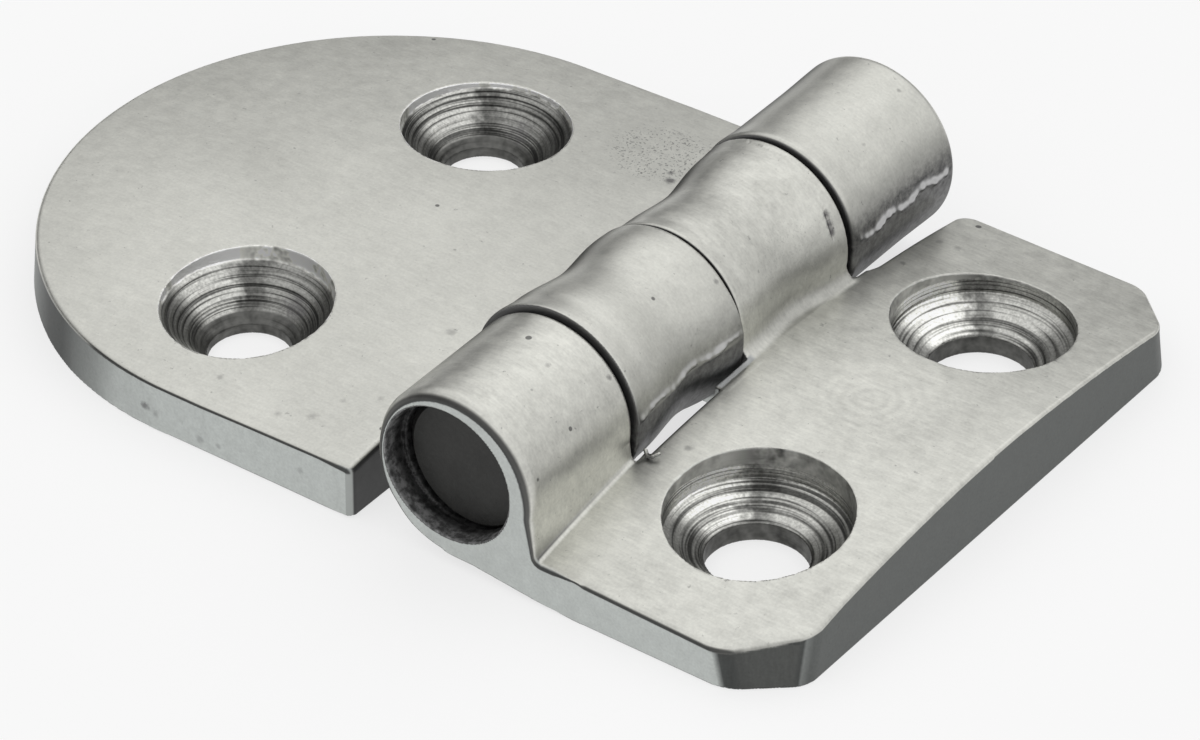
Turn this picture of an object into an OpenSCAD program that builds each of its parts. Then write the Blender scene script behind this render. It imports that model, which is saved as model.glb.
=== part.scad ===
// Counter hinge with one round leaf and one square leaf on a short fixed pin.
// X runs from the round leaf to the square leaf, Y along the pin and Z up.
// The undersides of both leaves lie in the plane Z = 0, and the pin is above the origin.

/* [Pin] */
// Diameter of the pin
pin_d = 8.2; // [7:0.1:8.6]
// How far each end of the pin stands back from the end of the barrel
pin_recess = 1.5; // [1.5:0.1:5]
// Bevel round each end of the pin
pin_bevel = 0.4; // [0.1:0.1:0.8]
// Play between the pin and the knuckles that turn on it, on the radius
running_gap = 0.06; // [0.02:0.01:0.09]

/* [Knuckles] */
// Outside diameter of the square leaf's knuckles
knuckle_d = 10.2; // [9.8:0.1:11]
// How far the round leaf's knuckles stand proud of the others, on the radius
knuckle_proud = 0.15; // [0:0.05:0.2]
// Height of the square leaf's knuckles above the mounting face
knuckle_rise = 0.7; // [0.3:0.1:1.2]
// Distance from the pin's centre at which the underside reaches the mounting face
web_foot = 7; // [6.7:0.1:9]
// Depth of the hollow worn round each of the two middle knuckles
waist = 0.35; // [0.1:0.05:0.4]
// Length of the front knuckle, on the square leaf
front_knuckle = 9.1; // [8:0.1:11]
// Length of the second knuckle, on the round leaf
second_knuckle = 10.1; // [8:0.1:11]
// Length of the third knuckle, on the square leaf
third_knuckle = 10.4; // [8:0.1:11]
// Gap between the ends of neighbouring knuckles
knuckle_gap = 0.2; // [0.1:0.05:0.5]
// Diameter of the shallow mouth at each end of the bore
mouth_d = 8.6; // [8.6:0.1:9]
// Depth of that mouth
mouth_depth = 1.3; // [0.5:0.1:1.4]
// How far the front mouth sits off the pin's centre, towards the round leaf
mouth_shift = 0.5; // [0:0.1:0.5]

/* [Square leaf] */
// Length of the square leaf along the pin
square_w = 40; // [38:0.5:48]
// Distance from the pin's centre to the outer edge
square_reach = 20.9; // [20:0.1:30]
// Thickness half way along the pin, at the top of the crown
square_mid_t = 4.55; // [4:0.05:5]
// Thickness at the front and back edges
square_edge_t = 2.6; // [2.2:0.05:3.2]
// Size of the clipped outer corners
corner_clip = 3.5; // [1:0.1:5]
// Gap between the slots' edge and the round leaf's knuckles
slot_gap = 0.4; // [0.3:0.05:0.6]

/* [Round leaf] */
// Width of the round leaf along the pin
round_w = 39.3; // [38:0.1:40]
// Distance from the pin's centre to the tip of the round end
round_reach = 38.7; // [34:0.1:50]
// Thickness along the middle, at the top of the crown
round_mid_t = 4.3; // [3.8:0.05:4.8]
// Thickness round the outer edge
round_edge_t = 2.95; // [2.5:0.05:3.4]
// Gap between the square leaf's knuckles and the round leaf's inner edge
inner_gap = 2; // [0.5:0.1:2.5]

/* [Screw holes] */
// Distance between the two holes of the square leaf
square_hole_pitch = 21.2; // [18:0.1:24]
// Distance between the two holes of the round leaf
round_hole_pitch = 21.6; // [18:0.1:24]
// How far the square leaf's holes sit forward of its middle
square_holes_forward = 0.5; // [0:0.1:1]
// How far the round leaf's holes sit forward of its middle
round_holes_forward = 0.7; // [0:0.1:1]
// Distance from the pin's centre to the square leaf's holes
square_hole_x = 13.4; // [12.5:0.1:14]
// Distance from the pin's centre to the round leaf's holes
round_hole_x = 20.3; // [16:0.1:26]
// Diameter of the holes in the square leaf
square_hole_d = 6; // [4:0.1:6.4]
// Diameter of the holes in the round leaf
round_hole_d = 4.6; // [4:0.1:6]
// Width of the square leaf's countersinks
square_sink_d = 10.3; // [9:0.1:11]
// Width of the round leaf's countersinks
round_sink_d = 9.8; // [9:0.1:11]
// Height of the countersinks' wide end above the mounting face
sink_top = 3.2; // [2.9:0.05:3.25]
// Full angle of the countersinks
sink_angle = 90; // [82:1:100]

/* [Hidden] */
$fn = 96;
overrun = 1;
// How far a flat face that runs into a barrel is set inside the barrel's surface
bite = 0.05;
// Number of cone-shaped bands that make a knuckle's hollow
waist_steps = 8;
crown_fn = 360;

// Levels and radii of the barrel
knuckle_r = knuckle_d / 2;
round_knuckle_r = knuckle_r + knuckle_proud;
axis_z = knuckle_rise + knuckle_r;
running_bore_r = pin_d / 2 + running_gap;

// Places along the pin, from the front to the back
front_y = -square_w / 2;
back_y = front_y + round_w;
split_1 = front_y + front_knuckle;
split_2 = split_1 + second_knuckle;
split_3 = split_2 + third_knuckle;
half_gap = knuckle_gap / 2;
round_mid_y = (front_y + back_y) / 2;

// Inner edges of the two leaves, and the centre of the round end
slot_x = round_knuckle_r + slot_gap;
inner_x = knuckle_r + inner_gap;
root_x = knuckle_r / 10;
end_x = round_reach - round_w / 2;

// Radius of the arc over a chord, from half the chord and the arc's height
function arc_r(half, rise) = (half * half + rise * rise) / (2 * rise);

square_crown_r = arc_r(square_w / 2, square_mid_t - square_edge_t);
round_crown_r = arc_r(round_w / 2, round_mid_t - round_edge_t);

// A cylinder along Y, from one place to another, centred on the pin
module along_pin(r, from, to) {
    translate([0, to, axis_z]) rotate([90, 0, 0]) cylinder(r = r, h = to - from);
}

// The barrel of one knuckle, with a shallow hollow round its middle
module knuckle(r, from, to, hollow) {
    length = to - from;
    steps = hollow > 0 ? waist_steps : 1;
    outer = [for (i = [0 : steps])
        let (u = 2 * i / steps - 1) [r - hollow * (1 - u * u), length * i / steps]];
    translate([0, to, axis_z]) rotate([90, 0, 0])
        rotate_extrude() polygon(concat([[0, 0]], outer, [[0, length]]));
}

// The solid side of a knuckle, from the pin's centre line down to its own leaf
module flank(side, r, from, to) {
    width = r - bite;
    low = square_edge_t / 2;
    translate([side > 0 ? 0 : -width, from, low]) cube([width, to - from, axis_z - low]);
}

// What is cut away under a knuckle, so that the underside slopes from the barrel to the leaf
module under_slope(side, r) {
    span = norm([web_foot, axis_z]);
    tilt = asin((r - bite) / span) - atan(axis_z / web_foot);
    mirror([side > 0 ? 0 : 1, 0, 0])
        translate([web_foot, 0, 0]) rotate([0, -tilt, 0])
            translate([-web_foot * 2, -square_w, -square_mid_t * 2])
                cube([web_foot * 2, square_w * 2, square_mid_t * 2]);
}

// A countersunk screw hole
module screw_hole(d, sink_d) {
    cone = (sink_d - d) / 2 / tan(sink_angle / 2);
    translate([0, 0, -overrun]) cylinder(d = d, h = sink_top + overrun);
    translate([0, 0, sink_top - cone]) cylinder(d1 = d, d2 = sink_d, h = cone);
    translate([0, 0, sink_top]) cylinder(d = sink_d, h = square_mid_t);
}

// The two screw holes of a leaf, at equal distances from a place along the pin
module screw_holes(x, middle, pitch, d, sink_d) {
    for (end = [-1, 1])
        translate([x, middle + end * pitch / 2, 0]) screw_hole(d, sink_d);
}

// The mouth of the bore at one end of the barrel
module bore_mouth(from, to, shift) {
    translate([-shift, 0, 0]) along_pin(mouth_d / 2, from, to);
}

// Outline of the square leaf, with its two slots and clipped corners
module square_outline() {
    back = square_w / 2;
    polygon([
        [-root_x, front_y], [square_reach - corner_clip, front_y],
        [square_reach, front_y + corner_clip], [square_reach, back - corner_clip],
        [square_reach - corner_clip, back], [slot_x, back],
        [slot_x, split_3 - half_gap], [-root_x, split_3 - half_gap],
        [-root_x, split_2 + half_gap], [slot_x, split_2 + half_gap],
        [slot_x, split_1 - half_gap], [-root_x, split_1 - half_gap]
    ]);
}

module square_leaf() {
    color([0.80, 0.80, 0.77])
    difference() {
        union() {
            difference() {
                intersection() {
                    linear_extrude(square_mid_t) square_outline();
                    translate([-root_x - overrun, 0, square_mid_t - square_crown_r]) rotate([0, 90, 0])
                        cylinder(r = square_crown_r, h = square_reach + root_x + 2 * overrun, $fn = crown_fn);
                }
                under_slope(1, knuckle_r);
            }
            flank(1, knuckle_r, front_y, split_1 - half_gap);
            knuckle(knuckle_r, front_y, split_1 - half_gap, 0);
            knuckle(knuckle_r, split_2 + half_gap, split_3 - half_gap, waist);
        }
        screw_holes(square_hole_x, -square_holes_forward, square_hole_pitch,
                    square_hole_d, square_sink_d);
        along_pin(running_bore_r, front_y - overrun, split_3 + overrun);
        bore_mouth(front_y - overrun, front_y + mouth_depth, mouth_shift);
    }
}

// The round leaf's two screw holes, cut from what they pass through
module drilled_for_screws() {
    difference() {
        children();
        screw_holes(-round_hole_x, round_mid_y - round_holes_forward, round_hole_pitch,
                    round_hole_d, round_sink_d);
    }
}

// The straight part of the round leaf, under an arched top
module straight_part() {
    translate([0, round_mid_y, 0]) intersection() {
        translate([-end_x, -round_w / 2, 0]) cube([end_x + root_x, round_w, round_mid_t]);
        translate([-end_x - overrun, 0, round_mid_t - round_crown_r]) rotate([0, 90, 0])
            cylinder(r = round_crown_r, h = end_x + root_x + 2 * overrun, $fn = crown_fn);
    }
}

// The half-round end of the round leaf, under a domed top
module round_end() {
    reach = round_w / 2 + overrun;
    translate([-end_x, round_mid_y, 0]) intersection() {
        cylinder(d = round_w, h = round_mid_t);
        translate([0, 0, round_mid_t - round_crown_r]) sphere(r = round_crown_r, $fn = crown_fn);
        translate([-reach, -reach, 0]) cube([reach, 2 * reach, round_mid_t]);
    }
}

// What is cut from the round leaf's inner edge to clear a knuckle of the square leaf
module inner_notch(from, to) {
    translate([-inner_x, from, -overrun])
        cube([inner_x + overrun, to - from, square_mid_t + 2 * overrun]);
}

module round_leaf() {
    color([0.80, 0.80, 0.77])
    difference() {
        union() {
            difference() {
                union() {
                    drilled_for_screws() straight_part();
                    drilled_for_screws() round_end();
                }
                inner_notch(front_y - overrun, split_1 + half_gap);
                inner_notch(split_2 - half_gap, split_3 + half_gap);
                under_slope(-1, round_knuckle_r);
            }
            flank(-1, round_knuckle_r, split_3 + half_gap, back_y);
            knuckle(round_knuckle_r, split_1 + half_gap, split_2 - half_gap, waist);
            knuckle(round_knuckle_r, split_3 + half_gap, back_y, 0);
        }
        along_pin(pin_d / 2, split_1 - overrun, back_y + overrun);
        bore_mouth(back_y - mouth_depth, back_y + overrun, 0);
    }
}

module pin() {
    from = front_y + pin_recess;
    to = back_y - pin_recess;
    color([0.24, 0.24, 0.23])
    translate([0, to, axis_z]) rotate([90, 0, 0]) {
        cylinder(d1 = pin_d - 2 * pin_bevel, d2 = pin_d, h = pin_bevel);
        translate([0, 0, pin_bevel]) cylinder(d = pin_d, h = to - from - 2 * pin_bevel);
        translate([0, 0, to - from - pin_bevel])
            cylinder(d1 = pin_d, d2 = pin_d - 2 * pin_bevel, h = pin_bevel);
    }
}

round_leaf();
square_leaf();
pin();
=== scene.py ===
"""The looks of a small cast counter hinge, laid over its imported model. Sizes are in millimetres, in the
hinge's own frame: X from the round leaf to the square leaf, Y along the pin to the back, Z up."""

import bpy
import numpy as np
from mathutils import Matrix, Vector


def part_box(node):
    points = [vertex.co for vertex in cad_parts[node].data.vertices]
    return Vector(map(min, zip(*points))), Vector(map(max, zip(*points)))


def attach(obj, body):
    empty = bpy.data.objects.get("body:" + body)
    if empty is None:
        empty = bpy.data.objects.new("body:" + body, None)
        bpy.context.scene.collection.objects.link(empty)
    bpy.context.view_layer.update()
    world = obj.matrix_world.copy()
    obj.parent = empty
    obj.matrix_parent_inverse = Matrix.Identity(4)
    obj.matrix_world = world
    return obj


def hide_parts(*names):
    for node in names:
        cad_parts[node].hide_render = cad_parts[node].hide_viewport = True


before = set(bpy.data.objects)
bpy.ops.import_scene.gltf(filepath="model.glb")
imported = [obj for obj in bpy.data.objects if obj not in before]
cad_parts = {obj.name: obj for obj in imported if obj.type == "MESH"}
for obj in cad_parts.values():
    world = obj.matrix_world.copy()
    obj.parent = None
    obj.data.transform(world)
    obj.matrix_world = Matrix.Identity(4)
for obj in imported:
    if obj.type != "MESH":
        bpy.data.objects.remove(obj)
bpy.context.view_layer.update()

# Camera
# A long lens looks down on the front of the hinge from its right. Place, turn and focal length come from
# the hinge's outline in the photograph.
camera_azimuth, camera_elevation, camera_roll = np.radians([35.917, 36.335, 0.450])
camera_target = Vector((-4.151, -1.224, 0)) / 1000
camera_distance = 0.37512
focal_pixels, picture_pixels = 6823.8, 1200
camera = bpy.data.objects.new("camera", bpy.data.cameras.new("camera"))
bpy.context.scene.collection.objects.link(camera)
backward = Vector((np.sin(camera_azimuth) * np.cos(camera_elevation),
                   -np.cos(camera_azimuth) * np.cos(camera_elevation), np.sin(camera_elevation)))
level = Vector((np.cos(camera_azimuth), np.sin(camera_azimuth), 0))
upright = backward.cross(level)
rightward = level * np.cos(camera_roll) + upright * np.sin(camera_roll)
upward = upright * np.cos(camera_roll) - level * np.sin(camera_roll)
camera.matrix_world = (Matrix.Translation(camera_target + backward * camera_distance)
                       @ Matrix((rightward, upward, backward)).transposed().to_4x4())
camera.data.sensor_fit = "HORIZONTAL"
camera.data.lens = focal_pixels * camera.data.sensor_width / picture_pixels
camera.data.shift_x = 0.0007
camera.data.shift_y = -0.0009
camera.data.clip_start = 0.01
bpy.context.scene.camera = camera


# Round leaf
# A casting of steel with a half-round end, two countersunk holes and the barrel's second and fourth knuckles.
# Its top was ground and polished by hand, which wore a waist into the second knuckle and softened every edge.
# The metal is worked out as a field: its value at a place is the distance to the surface, below zero inside.
axis_z = 5.8
front_y, split_1, split_2, split_3, back_y = -20, -10.9, -0.8, 9.37, 19.3
half_gap, hair = 0.1, 0.01
bottom_z = 1.3
round_end_x, round_end_r, round_inner_x = -19.3, 19.5, -6.75
round_top, round_arch = 4.3, 1.3
round_foot, round_foot_r = 6.5, 5.25
round_rims = [(-20.3, -11.85, 4.83), (-20.0, 9.55, 4.88)]
round_drilled = [(-20.15, -11.9, 2.33), (-20.2, 9.55, 2.3)]
round_wall_foot, round_cone_end = 3.2, 0.6
second_r = [(-10.8, 5.42), (-9.2, 5.28), (-5.2, 4.87), (-2.0, 5.16), (-0.9, 5.12)]
fourth_r = [(9.5, 5.36), (11.2, 5.28), (15.5, 5.27), (19.3, 5.34)]
round_bore_r, round_mouth_r, mouth_depth = 4.1, 4.3, 1.3


def both(a, b, radius):
    """What is inside a and inside b, with the edge where they meet rounded off."""
    return np.minimum(-radius, np.maximum(a, b)) + np.hypot(np.maximum(a + radius, 0), np.maximum(b + radius, 0))


def either(a, b, radius):
    """What is inside a or inside b, with the corner where they meet filled to a radius."""
    return np.maximum(radius, np.minimum(a, b)) - np.hypot(np.maximum(radius - a, 0), np.maximum(radius - b, 0))


def eased(at, stations):
    """A size that changes gently along the barrel, from (place, size) pairs."""
    places, sizes = np.array(stations).T
    k = np.clip(np.searchsorted(places, at, side="right") - 1, 0, len(places) - 2)
    t = np.clip((at - places[k]) / (places[k + 1] - places[k]), 0, 1)
    return sizes[k] + (sizes[k + 1] - sizes[k]) * t * t * (3 - 2 * t)


def from_pin(x, z, off=0.0):
    """Distance from the pin's centre line, or from a line set off from it along X."""
    return np.hypot(x - off, z - axis_z)


def between(y, start, end):
    """Distance outside a slab, below zero within it."""
    return np.maximum(start - y, y - end)


def crown_drop(across, half, rise):
    """How far an arched top has fallen at a distance from its middle, if it falls by rise over half its width."""
    radius = (half * half + rise * rise) / (2 * rise)
    return radius - np.sqrt(radius * radius - np.minimum(across, half * 1.2) ** 2)


def underside(side, x, z, radius, foot):
    """The leaf's lower face, which rises gently from the mounting face at foot to the bottom of the barrel."""
    tilt = np.arctan(axis_z / foot) * -1 + np.arcsin(radius / np.hypot(foot, axis_z))
    slope = (side * x - foot) * np.sin(tilt) - z * np.cos(tilt)
    return both(-z, slope, 0.2)


def screw_hole(x, y, z, rim, drilled, wall_foot, cone_end, turn, oval=1.0):
    """A drilled hole and its countersink, each given as (x, y, radius), with the rings of a chattering cutter.
    The countersink has a straight wall down to wall_foot and a cone from there to cone_end."""
    share = np.clip((z - cone_end) / (wall_foot - cone_end), 0, 1)
    off_x = x - drilled[0] - share * (rim[0] - drilled[0])
    off_y = y - drilled[1] - share * (rim[1] - drilled[1])
    out, bearing = np.hypot(off_x * oval, off_y / oval), np.arctan2(off_y, off_x)
    depth = z + 0.04 * np.sin(bearing + turn)
    chatter = 0.011 * np.sin(depth * 19.5 + turn) + 0.008 * np.sin(depth * 8.3 + 2 * turn)
    fall = (wall_foot - cone_end) / (rim[2] - drilled[2])
    cone = (cone_end + (out - drilled[2]) * fall - z) / np.hypot(1, fall) + chatter
    ragged = 0.03 * np.sin(bearing * 7 + turn) + 0.015 * np.sin(bearing * 17 + 2 * turn)
    wall = out - rim[2] - ragged * np.clip(z - 3.6, 0, 1) + chatter * np.clip((3.2 - z) / 0.2, 0, 1)
    return np.minimum(out - drilled[2], np.maximum(cone, wall))


def lip(x, y, z, angle, start, end, height):
    """The ragged fin of flash that the mould left along the barrel, at an angle from its top."""
    turned = np.arctan2(x, z - axis_z) - np.radians(angle) - 0.03 * np.sin(y * 1.9 + angle)
    ragged = 0.7 + 0.2 * np.sin(y * 2.3 + angle) + 0.15 * np.sin(y * 5.9) + 0.12 * np.sin(y * 11.3 + 1)
    ends = np.clip((y - start) / 0.5, 0, 1) * np.clip((end - y) / 0.5, 0, 1)
    sharp = np.where(turned > 0, 0.025, 0.055)
    return height * ends * np.clip(ragged, 0.1, 1.2) * np.exp(-(turned / sharp) ** 2)


def round_leaf_metal(x, y, z):
    # The plate is a half circle with straight sides. It spreads towards the barrel, leans at its far end and
    # flares at the foot of its front.
    spread = np.clip((x + 19.15) / 12, 0, 1.2)
    lean = 0.2 * np.clip((-12 - x) / 18, 0, 1)
    from_middle = np.hypot(np.minimum(x - round_end_x, 0), y + 0.5 + lean - 0.125 * spread) - 0.18 * spread
    flare = 0.22 * np.clip(1 - z / 3.2, 0, 1) * np.clip(-(x - round_end_x) / 8, 0, 1) * np.clip(-y / 8, 0, 1)
    second = between(y, split_1 + half_gap, split_2 - half_gap)
    fourth = between(y, split_3 + half_gap, back_y)
    inner = np.minimum(x - round_inner_x, np.maximum(x + 1.0, np.minimum(second, fourth)))
    outline = both(from_middle - round_end_r - flare, inner, 0.45)
    arch = crown_drop(from_middle, round_end_r, round_arch)
    top = z - round_top + arch + 0.8 * lean * np.clip((y + 5) / 15, 0, 1)
    top -= 0.22 * np.clip((x + 17) / 9.5, 0, 1) * np.clip((-10 - y) / 8, 0, 1)
    plate = both(outline, top, 0.22 + 0.2 * np.clip((x + 9) / 2, 0, 1) * np.clip((-11 - y) / 2, 0, 1))
    plate = both(plate, underside(-1, x, z, round_foot_r, round_foot), 0.06)

    # The second knuckle has a waist, and a fin of flash on its right side.
    waisted = eased(y, second_r)
    waisted += 0.2 * np.clip((np.arctan2(x, z - axis_z) - 0.9) / 0.5, 0, 1) * np.clip((y + 4) / 3, 0, 1)
    flash = lip(x, y, z, 84, -10.8, -0.9, 0.13)
    barrel = both(both(from_pin(x, z) - waisted - flash, split_1 + half_gap - y, 0.12), y - split_2 + half_gap, 0.22)
    metal = either(plate, barrel, 0.7)

    # The fourth is nearly straight, and goes down into the leaf with a flat side.
    straight = eased(y, fourth_r)
    side = np.maximum(np.maximum(-x - 5.15, x), between(z, bottom_z, axis_z))
    leaning = from_pin(x, z + 0.05, 0.05) + 0.03
    profile = np.minimum(leaning - straight - lip(x, y, z, 87, 9.9, 19.1, 0.16), side)
    barrel = both(both(profile, split_3 + half_gap - y, 0.3), y - back_y - 0.22, 0.6)
    metal = either(metal, barrel, 0.5)

    # Below the pin it is cut back, and beside its knuckles too, so that the square leaf can pass as it folds.
    sweep = np.where(y < split_2, 5.36, 5.48)
    metal = both(metal, -np.maximum(np.maximum(-2.5 - x, z - 1.5), sweep - from_pin(x, z)), 0.05)
    neighbours = np.minimum(between(y, front_y - 1, split_1 + half_gap - hair),
                            between(y, split_2 - half_gap + hair, split_3 + half_gap - hair))
    metal = both(metal, -np.maximum(from_pin(x, z) - 6.4, neighbours), 0.05)
    metal = both(metal, round_bore_r - from_pin(x, z), 0.1)
    metal = both(metal, -np.maximum(from_pin(x, z) - round_mouth_r, back_y - mouth_depth - y), 0.12)
    for rim, drilled, turn, oval in zip(round_rims, round_drilled, (0.4, 2.1), (1.015, 1.0)):
        hole = screw_hole(x, y, z, rim, drilled, round_wall_foot, round_cone_end, turn, oval)
        metal = both(metal, -hole, 0.08)
    return metal


def cast(name, metal, box, step=0.12, triangles=150000):
    """Skins a field of metal with a mesh: cells that the surface crosses get one point each, drawn onto it."""
    step = step
    block, margin = 4, 0.8
    low, high = (np.array(corner) * 1000 for corner in box)
    counts = np.ceil((high - low + 2 * margin) / step / block).astype(int)
    lines = [low[i] - margin + step * np.arange(counts[i] * block) for i in range(3)]
    middles = [line.reshape(-1, block).mean(1) for line in lines]
    rough = metal(*np.meshgrid(*middles, indexing="ij"))
    values = rough.astype(np.float32)
    for i in range(3):
        values = np.repeat(values, block, i)
    near = np.abs(rough) < block * step * 1.3
    for i in range(3):
        near = np.repeat(near, block, i)
    spots = np.nonzero(near)
    values[spots] = metal(*(lines[i][spots[i]] for i in range(3)))

    inside = values < 0
    cells = tuple(n - 1 for n in inside.shape)
    corners = [(i, j, k) for i in (0, 1) for j in (0, 1) for k in (0, 1)]
    filled = sum(inside[i:i + cells[0], j:j + cells[1], k:k + cells[2]].astype(np.int8) for i, j, k in corners)
    at = np.stack(np.nonzero((filled > 0) & (filled < 8)), 1)
    total, crossings = np.zeros((len(at), 3)), np.zeros((len(at), 1))
    for a in corners:
        for b in corners:
            if sum(b) - sum(a) == 1 and all(q >= p for p, q in zip(a, b)):
                here, there = (values[tuple((at + c).T)] for c in (a, b))
                crossed = (here < 0) != (there < 0)
                share = np.where(crossed, here / np.where(crossed, here - there, 1), 0)[:, None]
                total += crossed[:, None] * (np.array(a) + share * (np.array(b) - np.array(a)))
                crossings += crossed[:, None]
    points = (at + total / crossings) * step + np.array([line[0] for line in lines])
    number = np.full(cells, -1, np.int32)
    number[tuple(at.T)] = np.arange(len(at))
    quads = []
    for axis in range(3):
        u, v = (axis + 1) % 3, (axis + 2) % 3
        crossed = np.diff(inside.astype(np.int8), axis=axis)
        edge = np.stack(np.nonzero(crossed), 1)
        way = crossed[tuple(edge.T)]
        around = []
        for du, dv in ((0, 0), (1, 0), (1, 1), (0, 1)):
            cell = edge.copy()
            cell[:, u] -= du
            cell[:, v] -= dv
            around.append(number[tuple(cell.T)])
        around = np.stack(around, 1)
        quads.append(np.where(way[:, None] < 0, around, around[:, ::-1]))
    mesh = bpy.data.meshes.new(name)
    mesh.from_pydata(points / 1000, [], np.concatenate(quads))

    piece = bpy.data.objects.new(name, mesh)
    bpy.context.scene.collection.objects.link(piece)
    thinned = piece.modifiers.new("thin out the flat faces", "DECIMATE")
    thinned.ratio = min(1, triangles / (2 * len(mesh.polygons)))
    final = bpy.data.meshes.new_from_object(piece.evaluated_get(bpy.context.evaluated_depsgraph_get()))
    piece.modifiers.clear()
    piece.data = final
    points = np.empty(len(final.vertices) * 3)
    final.vertices.foreach_get("co", points)
    points = points.reshape(-1, 3) * 1000

    def slope(p, reach=0.02):
        steps = reach * np.eye(3)
        return np.stack([metal(*(p + s).T) - metal(*(p - s).T) for s in steps], 1) / (2 * reach)

    furthest = 0.08
    for _ in range(3):
        steep = slope(points)
        move = metal(*points.T)[:, None] * steep / np.maximum((steep ** 2).sum(1), 0.2)[:, None]
        points -= np.clip(move, -furthest, furthest)
    final.vertices.foreach_set("co", (points / 1000).ravel())
    final.polygons.foreach_set("use_smooth", np.ones(len(final.polygons), bool))
    steep = slope(points, 0.03)
    final.normals_split_custom_set_from_vertices(steep / np.linalg.norm(steep, axis=1)[:, None])
    final.update()
    print(name, len(final.polygons), "triangles")
    return piece


def node(tree, kind, given=(), out=0, **settings):
    """Adds one shader node and gives back its output; given holds values or other nodes' outputs."""
    made = tree.nodes.new("ShaderNode" + kind)
    for setting, value in settings.items():
        setattr(made, setting, value)
    for slot, value in dict(given).items():
        if isinstance(value, bpy.types.NodeSocket):
            tree.links.new(value, made.inputs[slot])
        else:
            made.inputs[slot].default_value = value
    return made.outputs[out]


def reckon(tree, operation, a, b=0.0, c=0.0):
    return node(tree, "Math", {0: a, 1: b, 2: c}, operation=operation)


def fade(tree, value, start, end):
    """0 at start and before, 1 at end and after, and smooth between."""
    given = {"Value": value, "From Min": start, "From Max": end}
    return node(tree, "MapRange", given, interpolation_type="SMOOTHSTEP")


def cloud(tree, place, scale, detail=2.0, roughness=0.5, stretch=None):
    """Soft noise between 0 and 1, with scale in waves a millimetre."""
    if stretch:
        place = node(tree, "VectorMath", {0: place, 1: stretch}, operation="MULTIPLY")
    given = {"Vector": place, "Scale": scale, "Detail": detail, "Roughness": roughness}
    return node(tree, "TexNoise", given)


def coat(tree, under, over, share, how="MIX"):
    """Lays one colour over another, or tints it, by a share between 0 and 1."""
    return node(tree, "MixRGB", {"Fac": share, "Color1": under, "Color2": over}, blend_type=how)


def grey(value, green=1.0, blue=1.0):
    return (value, value * green, value * blue, 1)


def overlap(tree, *masks):
    """Where all of these masks are on together."""
    together = masks[0]
    for mask in masks[1:]:
        together = reckon(tree, "MULTIPLY", together, mask)
    return together


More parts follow.
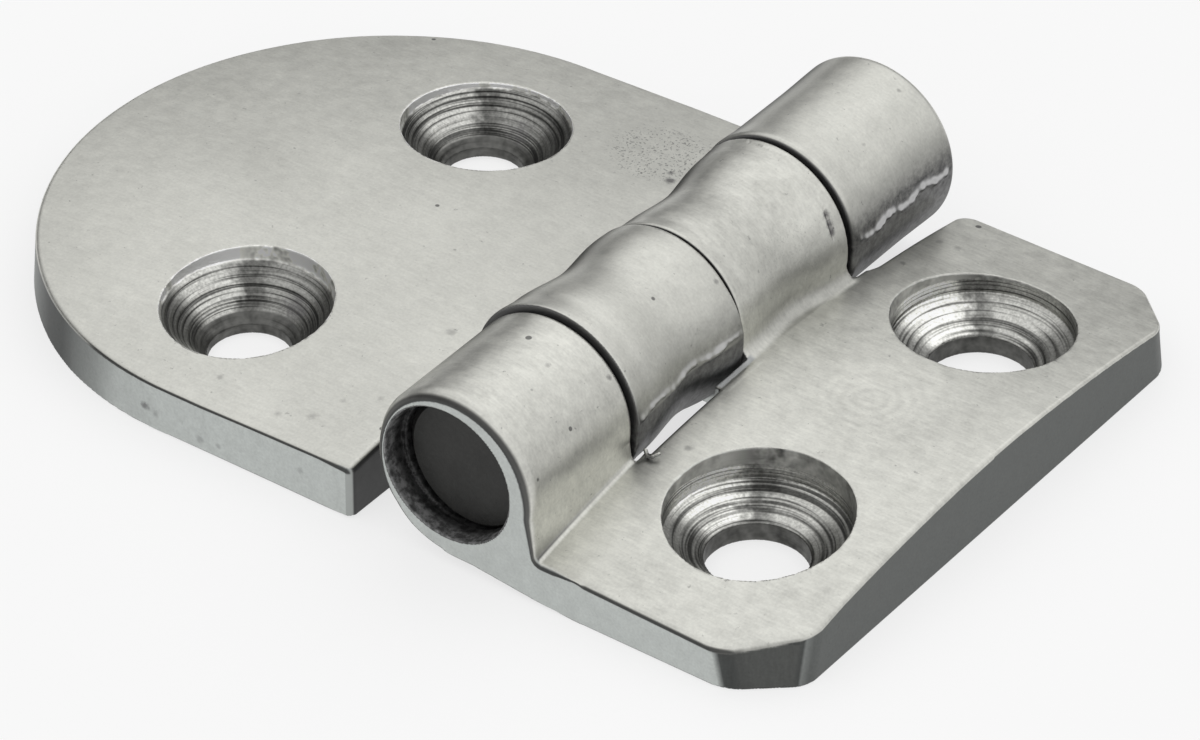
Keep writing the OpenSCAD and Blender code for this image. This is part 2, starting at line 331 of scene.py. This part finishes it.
def cast_steel(name, holes, oval, rings_top, ring_light, wall_light, marks, flash, right_flank_shade_span, worn_patch,
               pitted=1.0, cloudy=1.0, swirl=None):
    """Cast steel: ground and polished above, grey and unpolished on its sides, dark in its bore. Painted shade sets
    the sides' greys by the way they face and darkens the bore, edges, gaps and the barrel's right side; painted light
    brightens the countersinks, the flash's ridge, the slot's floor and the top towards the round leaf's end. The
    holes are (x, y, rim radius), the marks (x, y, z, reach, darkness), and right_flank_shade_span is where along Y
    the painted shade on the right side of the barrel starts and ends to darken, with the least and the added
    darkness."""
    material = bpy.data.materials.new(name)
    material.use_nodes = True
    tree = material.node_tree
    shader = tree.nodes["Principled BSDF"]
    place = node(tree, "VectorMath", {0: node(tree, "TexCoord", out="Object"), "Scale": 1000.0}, operation="SCALE")
    split = node(tree, "SeparateXYZ", {0: place}).node.outputs
    x, y, z = split[0], split[1], split[2]
    facing = node(tree, "TexCoord", out="Normal")
    split = node(tree, "SeparateXYZ", {0: facing}).node.outputs
    face_x, face_y, face_z = split[0], split[1], split[2]
    outward = node(tree, "VectorMath", {0: place, 1: (1, 0, 1), 2: (0, 0, -axis_z)}, operation="MULTIPLY_ADD")
    pin_way = node(tree, "VectorMath", {0: outward}, out="Value", operation="LENGTH")
    looks_out = node(tree, "VectorMath", {0: outward, 1: facing}, out="Value", operation="DOT_PRODUCT")
    aside = reckon(tree, "ABSOLUTE", x)
    end_face = reckon(tree, "ABSOLUTE", face_y)

    # The polished top: bright, with a faint cloud, small pits and specks of old scale.
    soft = cloud(tree, place, 0.16, 2)
    mottle = cloud(tree, place, 1.1, 3, 0.6)
    grain = cloud(tree, place, 6.5, 1)
    rubbed = cloud(tree, place, 1.0, 1, 0.6, (0.9, 5.0, 3.0))
    shade = reckon(tree, "MULTIPLY_ADD", grain, 0.22, 0.89 - 0.35 * cloudy)
    for layer, share in ((soft, 0.28), (mottle, 0.26), (rubbed, 0.16)):
        shade = reckon(tree, "MULTIPLY_ADD", layer, share * cloudy, shade)
    if swirl:
        out = node(tree, "VectorMath", {0: place, 1: swirl}, out="Value", operation="DISTANCE")
        turns = reckon(tree, "SINE", reckon(tree, "MULTIPLY_ADD", out, 9.0, reckon(tree, "MULTIPLY", mottle, 6.0)))
        shade = reckon(tree, "MULTIPLY_ADD", reckon(tree, "MULTIPLY", turns, fade(tree, out, 4.2, 1.5)), 0.045, shade)
    # Painted light: the top is made lighter towards the round leaf's far end, beyond x = -12.
    shade = reckon(tree, "MULTIPLY_ADD", fade(tree, x, -12.0, -38.0), 0.10, shade)
    polished = (0.635, 0.635, 0.592, 1)
    colour = coat(tree, polished, shade, 1.0, "MULTIPLY")
    cells = node(tree, "TexVoronoi", {"Vector": place, "Scale": 0.42, "Randomness": 1.0}).node.outputs
    chance = node(tree, "SeparateXYZ", {0: cells["Color"]}).node.outputs
    size = reckon(tree, "MULTIPLY", fade(tree, chance[0], 0.55, 1.0), 0.075)
    pits = fade(tree, reckon(tree, "SUBTRACT", cells["Distance"], size), 0.012, -0.008)
    patch = node(tree, "VectorMath", {0: place, 1: worn_patch}, out="Value", operation="DISTANCE")
    patch = fade(tree, patch, 4.5, 0.5)
    scale = cloud(tree, place, 2.6, 3, 0.65)
    specks = fade(tree, reckon(tree, "MULTIPLY_ADD", patch, 0.07 * pitted, scale), 0.66, 0.76)
    colour = coat(tree, colour, grey(0.16), reckon(tree, "MULTIPLY", specks, 0.45))
    fine_pits = overlap(tree, fade(tree, grain, 0.58, 0.66), fade(tree, patch, 0.05, 0.6))
    colour = coat(tree, colour, grey(0.14), reckon(tree, "MULTIPLY", fine_pits, 0.6 * pitted))
    colour = coat(tree, colour, grey(0.09), reckon(tree, "MULTIPLY", pits, 0.8))

    # The sides were left as they were cast and trimmed, with a mottled grey. The grey each side takes by the way it
    # faces is painted shade and painted reflection: light on the front faces, dark on the right side, the clips and
    # the round leaf's left rim.
    bearing = reckon(tree, "MULTIPLY_ADD", reckon(tree, "ARCTAN2", face_y, face_x), 1 / (2 * np.pi), 0.5)
    ramp = tree.nodes.new("ShaderNodeValToRGB")
    tree.links.new(bearing, ramp.inputs[0])
    stops = [(0.0, 0.30), (0.09, 0.42), (0.122, 0.26), (0.156, 0.09), (0.175, 0.09), (0.206, 0.30), (0.225, 0.52),
             (0.25, 0.57), (0.285, 0.55), (0.305, 0.085), (0.392, 0.085), (0.405, 0.22), (0.44, 0.14), (0.60, 0.15),
             (0.75, 0.34), (1.0, 0.30)]
    while len(ramp.color_ramp.elements) < len(stops):
        ramp.color_ramp.elements.new(0.5)
    for element, (at, value) in zip(ramp.color_ramp.elements, stops):
        element.position = at
        element.color = grey(value, 1.045, 1.015)
    trimmed = cloud(tree, place, 1.6, 1, 0.6, (3.0, 3.0, 0.4))
    on_clip = overlap(tree, fade(tree, bearing, 0.28, 0.31), fade(tree, bearing, 0.41, 0.39))
    trimmed = reckon(tree, "MULTIPLY_ADD", reckon(tree, "SUBTRACT", trimmed, mottle), on_clip, mottle)
    side_shade = reckon(tree, "MULTIPLY_ADD", trimmed, 0.35, 0.70)
    side_shade = reckon(tree, "MULTIPLY_ADD", grain, 0.25, side_shade)
    side = coat(tree, ramp.outputs[0], side_shade, 1.0, "MULTIPLY")
    # Painted shade and light near the barrel: faces turned sideways, into the gaps, are made dark, and faces turned
    # to the front or back a lighter grey.
    near_gap = fade(tree, aside, 8.0, 7.6)
    side = coat(tree, side, grey(0.42, 1.04, 1.01), overlap(tree, near_gap, fade(tree, bearing, 0.27, 0.28)))
    side = coat(tree, side, grey(0.085), overlap(tree, near_gap, fade(tree, end_face, 0.6, 0.3)))
    inner_front = overlap(tree, near_gap, fade(tree, y, -11.0, -12.0))
    plate_side = reckon(tree, "MULTIPLY_ADD", inner_front, -0.5, face_z)
    plate_side = overlap(tree, fade(tree, plate_side, 0.36, 0.12), fade(tree, aside, 5.2, 5.5))
    on_side = reckon(tree, "MAXIMUM", plate_side, fade(tree, end_face, 0.86, 0.96))
    colour = coat(tree, colour, side, on_side)

    # Painted shade: the rounded edge above the front faces is darkened, most at the front end.
    upturned = reckon(tree, "MULTIPLY_ADD", fade(tree, aside, 5.6, 5.3), 0.5, face_z)
    edge = overlap(tree, fade(tree, face_y, -0.58, -0.80), fade(tree, face_y, -0.99, -0.95),
                   fade(tree, upturned, 0.05, 0.30))
    edge_shade_strength = reckon(tree, "MULTIPLY_ADD", fade(tree, y, -19.0, -19.3), 0.5, 0.4)
    colour = coat(tree, colour, grey(0.055), reckon(tree, "MULTIPLY", edge, edge_shade_strength))

    # Painted shade: the knuckles' ends, in the gaps between them, are darkened.
    gap_shade = overlap(tree, fade(tree, end_face, 0.70, 0.90), fade(tree, pin_way, 5.7, 5.5),
                   fade(tree, reckon(tree, "ABSOLUTE", y), 18.8, 18.4))
    colour = coat(tree, colour, grey(0.20), gap_shade)

    # Away from the square leaf the barrel falls into its own shade.
    shoulder = node(tree, "Math", {0: x, 1: pin_way}, operation="DIVIDE")
    shoulder = overlap(tree, fade(tree, shoulder, -0.42, -0.80), fade(tree, pin_way, 5.7, 5.5),
                       fade(tree, y, -19.0, -10.0))
    colour = coat(tree, colour, grey(0.16), reckon(tree, "MULTIPLY", shoulder, 0.7))

    # Painted light: the floor of the slot's far end, a ledge left by the saw, is made pale grey and barely metallic.
    slot_floor_light = overlap(tree, fade(tree, x, 5.0, 5.1), fade(tree, x, 5.75, 5.65), fade(tree, y, -3.7, -3.5),
                   fade(tree, y, -0.3, -0.6), fade(tree, pin_way, 5.45, 5.5))
    colour = coat(tree, colour, grey(0.50, 1.03, 1.03), slot_floor_light)

    # The underside never saw the grinder.
    under = fade(tree, face_z, -0.25, -0.7)
    colour = coat(tree, colour, coat(tree, grey(0.24), shade, 1.0, "MULTIPLY"), under)

    # Painted shade: the right side of the barrel is darkened below its top, by a mottled amount, and more along the
    # stretch of Y given in right_flank_shade_span.
    start, end, least, more = right_flank_shade_span
    right_flank_shade = overlap(tree, fade(tree, z, 9.2, 6.4), fade(tree, pin_way, 5.9, 5.7), fade(tree, x, 2.3, 4.2),
                   reckon(tree, "MULTIPLY_ADD", fade(tree, y, start, end), more, least),
                   reckon(tree, "MULTIPLY_ADD", scale, 0.8, 0.6))
    colour = coat(tree, colour, grey(0.08), right_flank_shade)
    # Painted shade below the flash, and a painted highlight along its ridge.
    if flash:
        under_flash_shade = reckon(tree, "MULTIPLY_ADD", mottle, 0.3, z)
        under_flash_shade = overlap(tree, fade(tree, under_flash_shade, 6.42, 6.2), fade(tree, pin_way, 5.9, 5.7), fade(tree, x, 2.0, 4.0))
        colour = coat(tree, colour, coat(tree, grey(0.30), scale, 1.0, "MULTIPLY"), under_flash_shade)
        ridge_highlight = overlap(tree, fade(tree, z, 6.0, 6.15), fade(tree, z, 6.85, 6.65), fade(tree, face_z, 0.16, 0.38),
                        fade(tree, x, 4.6, 5.0))
        colour = coat(tree, colour, grey(0.62), reckon(tree, "MULTIPLY", ridge_highlight, 0.85))

    # Countersinks: cut steel with bright and dark rings, and a plainer wall above them. Their brightness is painted
    # reflection: one side of each hole is made bright, the opposite side about half as bright.
    in_hole, across = 0.0, 0.0
    for centre_x, centre_y, rim_r in holes:
        moved = (-centre_x * oval, -centre_y / oval, 0)
        out = node(tree, "VectorMath", {0: place, 1: (oval, 1 / oval, 0), 2: moved}, operation="MULTIPLY_ADD")
        sideways = node(tree, "VectorMath", {0: out, 1: (0.81, 0.586, 0)}, out="Value", operation="DOT_PRODUCT")
        out = node(tree, "VectorMath", {0: out}, out="Value", operation="LENGTH")
        inside = fade(tree, out, rim_r + 0.12, rim_r + 0.04)    # a little wider, for the rounded rim
        in_hole = reckon(tree, "MAXIMUM", in_hole, inside)
        sideways = node(tree, "Math", {0: sideways, 1: out}, operation="DIVIDE")
        across = reckon(tree, "MULTIPLY_ADD", sideways, inside, across)
    cut_face = reckon(tree, "MAXIMUM", fade(tree, face_z, 0.95, 0.80), fade(tree, z, rings_top, rings_top - 0.2))
    in_hole = overlap(tree, in_hole, cut_face, fade(tree, face_z, -0.75, -0.25))
    rings = cloud(tree, place, 1.0, 2, 0.7, (0.05, 0.05, 6.5))
    fine = cloud(tree, place, 1.0, 1, 0.6, (0.30, 0.30, 14.0))
    rings = reckon(tree, "MULTIPLY_ADD", fine, 0.35, rings)
    smudge = cloud(tree, place, 1.2, 2, 0.65)
    wandering = reckon(tree, "MULTIPLY_ADD", smudge, 0.7, reckon(tree, "SUBTRACT", across, 0.35))
    lit = overlap(tree, fade(tree, wandering, -0.02, -0.38), fade(tree, across, -0.98, -0.80))
    half_lit = overlap(tree, fade(tree, wandering, 0.04, 0.38), fade(tree, across, 0.98, 0.80))
    glow = reckon(tree, "MULTIPLY_ADD", lit, 1.15, reckon(tree, "MULTIPLY_ADD", half_lit, 0.48, 0.34))
    bright = reckon(tree, "MULTIPLY_ADD", fade(tree, rings, 0.52, 0.76), 0.62, 0.13)
    speckled = reckon(tree, "MULTIPLY_ADD", grain, ring_light, ring_light * 0.5)
    bright = overlap(tree, bright, glow, speckled)
    wall = reckon(tree, "MULTIPLY_ADD", smudge, 0.9, reckon(tree, "MULTIPLY_ADD", glow, 0.25, -0.2))
    wall = reckon(tree, "MULTIPLY", wall, wall_light)
    upper = fade(tree, reckon(tree, "MULTIPLY_ADD", smudge, 0.15, z), rings_top - 0.05, rings_top + 0.12)
    bright = node(tree, "Mix", {0: upper, 2: bright, 3: wall})
    bored = reckon(tree, "MULTIPLY", smudge, 0.25)
    bright = node(tree, "Mix", {0: fade(tree, z, 1.25, 1.05), 2: bright, 3: bored})
    cut = node(tree, "CombineColor", {0: bright, 1: bright, 2: reckon(tree, "MULTIPLY", bright, 0.95)})
    colour = coat(tree, colour, cut, in_hole)

    # The bore is dark and mottled; painted shade makes it darker still beyond its first half millimetre from the
    # front end, and on the ledge at its mouth.
    bore = overlap(tree, fade(tree, looks_out, -1.0, -2.5), fade(tree, pin_way, 5.2, 4.9))
    ledge = overlap(tree, fade(tree, end_face, 0.6, 0.9), fade(tree, y, -19.2, -19.0), fade(tree, pin_way, 5.0, 4.8))
    bore = reckon(tree, "MAXIMUM", bore, ledge)
    bore_mottle_and_shade = reckon(tree, "MULTIPLY_ADD", fade(tree, scale, 0.35, 0.65), 0.26, 0.13)
    bore_mottle_and_shade = reckon(tree, "MULTIPLY", bore_mottle_and_shade, reckon(tree, "MULTIPLY_ADD", fade(tree, y, -18.9, -19.5), 0.75, 0.25))
    colour = coat(tree, colour, node(tree, "CombineColor", {0: bore_mottle_and_shade, 1: bore_mottle_and_shade, 2: bore_mottle_and_shade}), bore)

    # Single dark marks, each at its own place: on knocks, stains and scratches, around the curl by the slot, low on
    # the front faces and deep in the countersinks.
    dark_marks = 0.0
    for mark_x, mark_y, mark_z, reach, dark in marks:
        centre = (mark_x, mark_y, mark_z)
        away = node(tree, "VectorMath", {0: place, 1: centre}, out="Value", operation="DISTANCE")
        away = reckon(tree, "MULTIPLY_ADD", scale, -1.2 * reach, away)
        mark = reckon(tree, "MULTIPLY", fade(tree, away, 0.35 * reach, -0.5 * reach), dark)
        dark_marks = reckon(tree, "MAXIMUM", dark_marks, mark)
    colour = coat(tree, colour, grey(0.12, 0.96), dark_marks)
    tree.links.new(colour, shader.inputs["Base Color"])

    # The slot's floor, made pale as painted light, is barely metallic.
    tree.links.new(reckon(tree, "MULTIPLY_ADD", slot_floor_light, -0.9, 1.0), shader.inputs["Metallic"])
    rough = reckon(tree, "MULTIPLY_ADD", mottle, 0.14, 0.33)
    for rougher, more in ((on_side, 0.14), (under, 0.18), (bore, 0.30), (specks, 0.15)):
        rough = reckon(tree, "MULTIPLY_ADD", rougher, more, rough)
    tree.links.new(rough, shader.inputs["Roughness"])
    tree.links.new(coat(tree, grey(1.0), grey(0.12), shoulder), shader.inputs["Specular Tint"])
    height = reckon(tree, "MULTIPLY_ADD", reckon(tree, "MULTIPLY", rings, in_hole), 2.5, mottle)
    bump = node(tree, "Bump", {"Height": height, "Strength": 1.0, "Distance": 0.000010})
    tree.links.new(bump, shader.inputs["Normal"])
    return material


round_leaf = cast("cast_round_leaf", round_leaf_metal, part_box("round_leaf"))
round_leaf.data.materials.append(cast_steel(
    "round leaf steel", round_rims, oval=1.007, rings_top=round_wall_foot, ring_light=0.62, wall_light=2.6,
    flash=True, right_flank_shade_span=(-6.0, 14.0, 0.55, 0.42), worn_patch=(-10.6, 13.4, 3.7),
    marks=[(-8.4, 11.3, 3.8, 0.5, 0.8), (-8.9, 12.0, 3.8, 0.35, 0.6), (-9.3, -7.9, 4.1, 0.45, 0.35),
           (-9.0, -14.5, 3.6, 0.35, 0.4), (-17.5, -17.7, 3.3, 0.3, 0.35), (-11.2, -17.6, 3.3, 0.5, 0.3),
           (-13.0, -18.4, 3.2, 0.35, 0.3), (-10.6, -15.7, 3.5, 0.3, 0.35), (-20.9, -20.0, 1.25, 0.42, 0.75),
           (-20.1, -20.0, 1.1, 0.35, 0.4), (-17.1, -20.0, 0.7, 0.4, 0.35), (-15.8, -20.0, 0.8, 0.3, 0.35),
           (-10.2, -20.0, 1.7, 0.35, 0.25), (-0.3, -1.3, 10.8, 0.2, 0.3), (3.7, -1.4, 9.4, 0.3, 0.5),
           (3.1, 13.3, 9.9, 0.22, 0.6), (2.2, 18.1, 10.5, 0.22, 0.6), (0.0, 15.4, 10.9, 0.18, 0.4),
           (-19.6, -8.6, 1.8, 1.3, 0.6), (-20.0, 12.6, 1.8, 1.2, 0.5)]))
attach(round_leaf, "round_leaf")
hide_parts("round_leaf")


# Square leaf
# The other casting, with clipped and softened corners and the first and third knuckles. The front knuckle
# goes down into the leaf with a straight side, and the third is worn thin between its ends.
square_end_x, square_inner_x, square_half_w = 20.9, 5.65, 20
square_top, square_arch = 4.55, 1.95
square_foot, square_foot_r = 6.3, 5.1
square_rims = [(13.22, -10.8, 5.1), (13.28, 10.4, 5.12)]
square_drilled = [(13.3, -10.97, 2.85), (13.45, 10.05, 2.95)]
square_wall_foot, square_cone_end = 2.3, 1.16
first_r, third_r = 5.12, [(-0.7, 4.98), (0.4, 4.9), (4.1, 4.64), (8.0, 5.12), (9.35, 5.20)]
square_bore_r, square_mouth_r, mouth_off = 4.16, 4.02, -0.42


def square_leaf_metal(x, y, z):
    # The plate: the clips lean outwards at their feet, and the back corner runs into the third knuckle.
    low = np.clip(1 - z / 2.6, 0, 1)
    back_clip = (x + y - 37.6 - 0.5 * low) / np.sqrt(2)
    front_clip = 0.646 * (x - 17) - 0.763 * (y + 20) - 0.4 * low
    softness = 0.6
    near_barrel = np.clip((8.5 - x) / 2, 0, 1)
    sides = np.abs(y) - square_half_w - 0.6 * near_barrel * (y < 0)
    outline = both(both(x - square_end_x, np.maximum(back_clip, front_clip), softness), sides, softness)
    first = between(y, front_y - 1, split_1 - half_gap)
    third = between(y, split_2 + half_gap, split_3 - half_gap)
    tabs = np.maximum(between(x, -0.5, 12), np.minimum(first, third))
    inner = either(square_inner_x - x, tabs, np.where(y > 5, 2.5, 0.3))
    inner = np.maximum(inner, np.minimum(5.35 - x, y - split_3 + half_gap))
    outline = both(outline, inner, np.where(y > 15, 1.0, 0.1))
    top = z - square_top + crown_drop(np.abs(y), square_half_w, square_arch)
    top += 0.3 * np.clip((x - 8) / 9, 0, 1) * np.clip((-14 - y) / 6, 0, 1)
    top -= 0.1 * np.clip((x - 12) / 8, 0, 1) * np.exp(-(y / 6) ** 2)
    plate = both(outline, top, np.where(y < 0, 0.3, 0.2))

    # The saw left a ledge of metal at both ends of the slot.
    near_end = np.maximum(between(x, 5.4, 6.2), between(y, -11, -10.2))
    far_end = np.maximum(np.maximum(between(x, 5.27, 6.2), 2.6 - z), between(y, -3.7, -0.3))
    plate = either(plate, both(np.minimum(near_end, far_end), top + 0.05, 0.06), 0.1)
    plate = both(plate, underside(1, x, z, square_foot_r, square_foot), 0.06)

    # The first knuckle, cut off in one plane with the leaf's front.
    leaning = x - 5.06 - 0.34 * np.clip((5.2 - z) / 2.6, 0, 1)
    side = np.maximum(np.maximum(leaning, -x), between(z, bottom_z, axis_z))
    profile = np.minimum(from_pin(x, z) - first_r, side)
    barrel = both(both(profile, front_y - 0.6 - y, 0.1), y - split_1 + half_gap, 0.2)
    metal = either(plate, barrel, 0.32)
    rounding = 0.12 + 0.2 * np.clip(z - 1.5, 0, 1) + 0.42 * np.clip((z - 3) / 4, 0, 1)
    metal = both(metal, front_y - y, 0.01 + rounding * near_barrel)

    # The third knuckle, with an old knock near its back end.
    barrel = both(from_pin(x, z) - eased(y, third_r), np.maximum(third, y - split_3 + 0.22), 0.18)
    metal = either(metal, barrel, 1.0)
    along = (np.arctan2(x, z - axis_z) - np.radians(63)) / 0.2
    knock = np.hypot(from_pin(x, z) - 5.16, y - 8.1 + 0.1 * along) - 0.16 * np.sqrt(np.maximum(1 - along ** 2, 0))
    metal = both(metal, -knock, 0.05)

    # Room for the other leaf's knuckles, the bore with its worn mouth, and the screw holes.
    neighbours = np.minimum(between(y, split_1 - half_gap + hair, split_2 + half_gap - hair),
                            split_3 - half_gap + hair - y)
    metal = both(metal, -np.maximum(from_pin(x, z) - 5.5, neighbours), 0.05)
    metal = both(metal, -np.maximum(from_pin(x, z) - square_bore_r, -18.6 - y), 0.1)
    mouth_r = square_mouth_r + 0.05 * np.clip(-18.7 - y, 0, 1)
    metal = both(metal, -np.maximum(from_pin(x, z, mouth_off) - mouth_r, y + 18.55), 0.12)
    for rim, drilled, turn in zip(square_rims, square_drilled, (1.3, 3.0)):
        hole = screw_hole(x, y, z, rim, drilled, square_wall_foot, square_cone_end, turn)
        metal = both(metal, -hole, 0.08)

    # A curl of metal that the saw left at the near end of the slot.
    curl_r = 0.12
    curl = [(5.60, -10.45, 4.40), (5.85, -10.62, 4.22), (6.15, -10.58, 4.30), (6.40, -10.35, 4.46)]
    for start, end in zip(curl, curl[1:]):
        way = np.subtract(end, start)
        off = [x - start[0], y - start[1], z - start[2]]
        share = np.clip(sum(o * w for o, w in zip(off, way)) / (way @ way), 0, 1)
        strand = np.sqrt(sum((o - share * w) ** 2 for o, w in zip(off, way))) - curl_r
        metal = either(metal, strand, 0.05)
    return metal


square_leaf = cast("cast_square_leaf", square_leaf_metal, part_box("square_leaf"))
square_leaf.data.materials.append(cast_steel(
    "square leaf steel", square_rims, oval=1.0, rings_top=3.3, ring_light=1.0, wall_light=1.0,
    flash=False, right_flank_shade_span=(-2.0, 6.0, 0.0, 0.32), worn_patch=(5.0, 4.6, 7.4), pitted=0.3, cloudy=1.7,
    swirl=(12.8, 0.2, 4.5),
    marks=[(7.2, -8.7, 4.2, 0.35, 0.5), (7.7, 16.2, 3.3, 0.35, 0.35), (6.6, 16.1, 3.3, 0.3, 0.35),
           (6.5, 12.6, 3.8, 0.25, 0.45), (17.3, -16.9, 3.2, 0.2, 0.6), (1.9, -14.2, 10.6, 0.25, 0.35),
           (2.4, -16.2, 10.4, 0.15, 0.6), (4.0, -11.5, 9.1, 0.28, 0.6), (4.8, 3.3, 7.7, 0.3, 0.4),
           (4.22, 8.17, 8.56, 0.4, 1.0), (4.49, 8.09, 8.1, 0.42, 1.0), (4.69, 8.01, 7.68, 0.4, 1.0),
           (6.0, -10.6, 4.25, 0.6, 0.8),
           (18.2, -9.4, 2.6, 0.9, 0.5), (12.9, -8.0, 2.6, 0.8, 0.4)]))
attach(square_leaf, "square_leaf")
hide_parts("square_leaf")


# Pin
# A plain steel pin, driven in until it sat below the barrel's ends, and left dark and dull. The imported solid
# already has its whole shape, so only its material is made here.
def pin_steel():
    material = bpy.data.materials.new("pin steel")
    material.use_nodes = True
    tree = material.node_tree
    shader = tree.nodes["Principled BSDF"]
    place = node(tree, "VectorMath", {0: node(tree, "TexCoord", out="Object"), "Scale": 1000.0}, operation="SCALE")
    patches = cloud(tree, place, 0.45, 4, 0.65)
    grain = cloud(tree, place, 5.0, 3, 0.6)
    value = reckon(tree, "MULTIPLY_ADD", patches, 0.05, 0.018)
    value = reckon(tree, "MULTIPLY_ADD", grain, 0.02, value)
    tree.links.new(node(tree, "CombineColor", {0: value, 1: value, 2: reckon(tree, "MULTIPLY", value, 0.96)}),
                   shader.inputs["Base Color"])
    shader.inputs["Metallic"].default_value = 0.7
    tree.links.new(reckon(tree, "MULTIPLY_ADD", patches, 0.25, 0.45), shader.inputs["Roughness"])
    height = reckon(tree, "MULTIPLY_ADD", grain, 0.6, patches)
    bump = node(tree, "Bump", {"Height": height, "Strength": 1.0, "Distance": 0.00003})
    tree.links.new(bump, shader.inputs["Normal"])
    return material


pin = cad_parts["pin"]
pin.data.materials.clear()
pin.data.materials.append(pin_steel())

# Studio
# A white paper floor under a pale dome that dims towards the horizon, with one large soft lamp behind. Seen
# directly or in a reflection, the floor is lightened to white, but it lights the hinge as plain paper does.
floor = bpy.data.objects.new("paper_floor", bpy.data.meshes.new("paper_floor"))
reach = 1.5
floor.data.from_pydata([(-reach, -reach, 0), (reach, -reach, 0), (reach, reach, 0), (-reach, reach, 0)], [],
                       [(0, 1, 2, 3)])
bpy.context.scene.collection.objects.link(floor)
floor.location.z = -0.00005
paper = bpy.data.materials.new("white paper")
paper.use_nodes = True
tree = paper.node_tree
tree.nodes["Principled BSDF"].inputs["Base Color"].default_value = (0.9, 0.9, 0.9, 1)
tree.nodes["Principled BSDF"].inputs["Roughness"].default_value = 0.9
tree.nodes["Principled BSDF"].inputs["Specular IOR Level"].default_value = 0.1
rays = node(tree, "LightPath").node.outputs
seen = reckon(tree, "MAXIMUM", rays["Is Camera Ray"], rays["Is Glossy Ray"])
seen = reckon(tree, "MAXIMUM", seen, rays["Is Transmission Ray"])
white = node(tree, "Emission", {"Color": (1, 1, 1, 1), "Strength": 1.0})
white_share = 0.7
mixed = node(tree, "MixShader", {0: reckon(tree, "MULTIPLY", seen, white_share),
                                 1: tree.nodes["Principled BSDF"].outputs[0], 2: white})
tree.links.new(mixed, tree.nodes["Material Output"].inputs["Surface"])
floor.data.materials.append(paper)

lamp = bpy.data.objects.new("lamp_behind", bpy.data.lights.new("lamp_behind", "AREA"))
lamp.data.shape = "RECTANGLE"
lamp.data.size, lamp.data.size_y = 0.7, 0.7
lamp.data.energy = 0.3
lamp.location = (-0.20, 0.45, 0.62)
lamp.rotation_euler = (-lamp.location).to_track_quat("-Z", "Y").to_euler()
bpy.context.scene.collection.objects.link(lamp)

dome = bpy.data.worlds.new("studio dome")
bpy.context.scene.world = dome
dome.use_nodes = True
tree = dome.node_tree
height = node(tree, "VectorMath", {0: node(tree, "TexCoord", out="Generated"), 1: (0.25, 0, 1)}, out="Value",
              operation="DOT_PRODUCT")
ramp = tree.nodes.new("ShaderNodeValToRGB")
tree.links.new(height, ramp.inputs[0])
stops = [(0.0, 0.08), (0.12, 0.18), (0.26, 0.52), (0.46, 0.86), (0.62, 0.97)]
while len(ramp.color_ramp.elements) < len(stops):
    ramp.color_ramp.elements.new(0.5)
for element, (at, value) in zip(ramp.color_ramp.elements, stops):
    element.position = at
    element.color = (value, value, value, 1)
tree.links.new(ramp.outputs[0], tree.nodes["Background"].inputs["Color"])
tree.nodes["Background"].inputs["Strength"].default_value = 1.0
bpy.context.scene.view_settings.view_transform = "Standard"
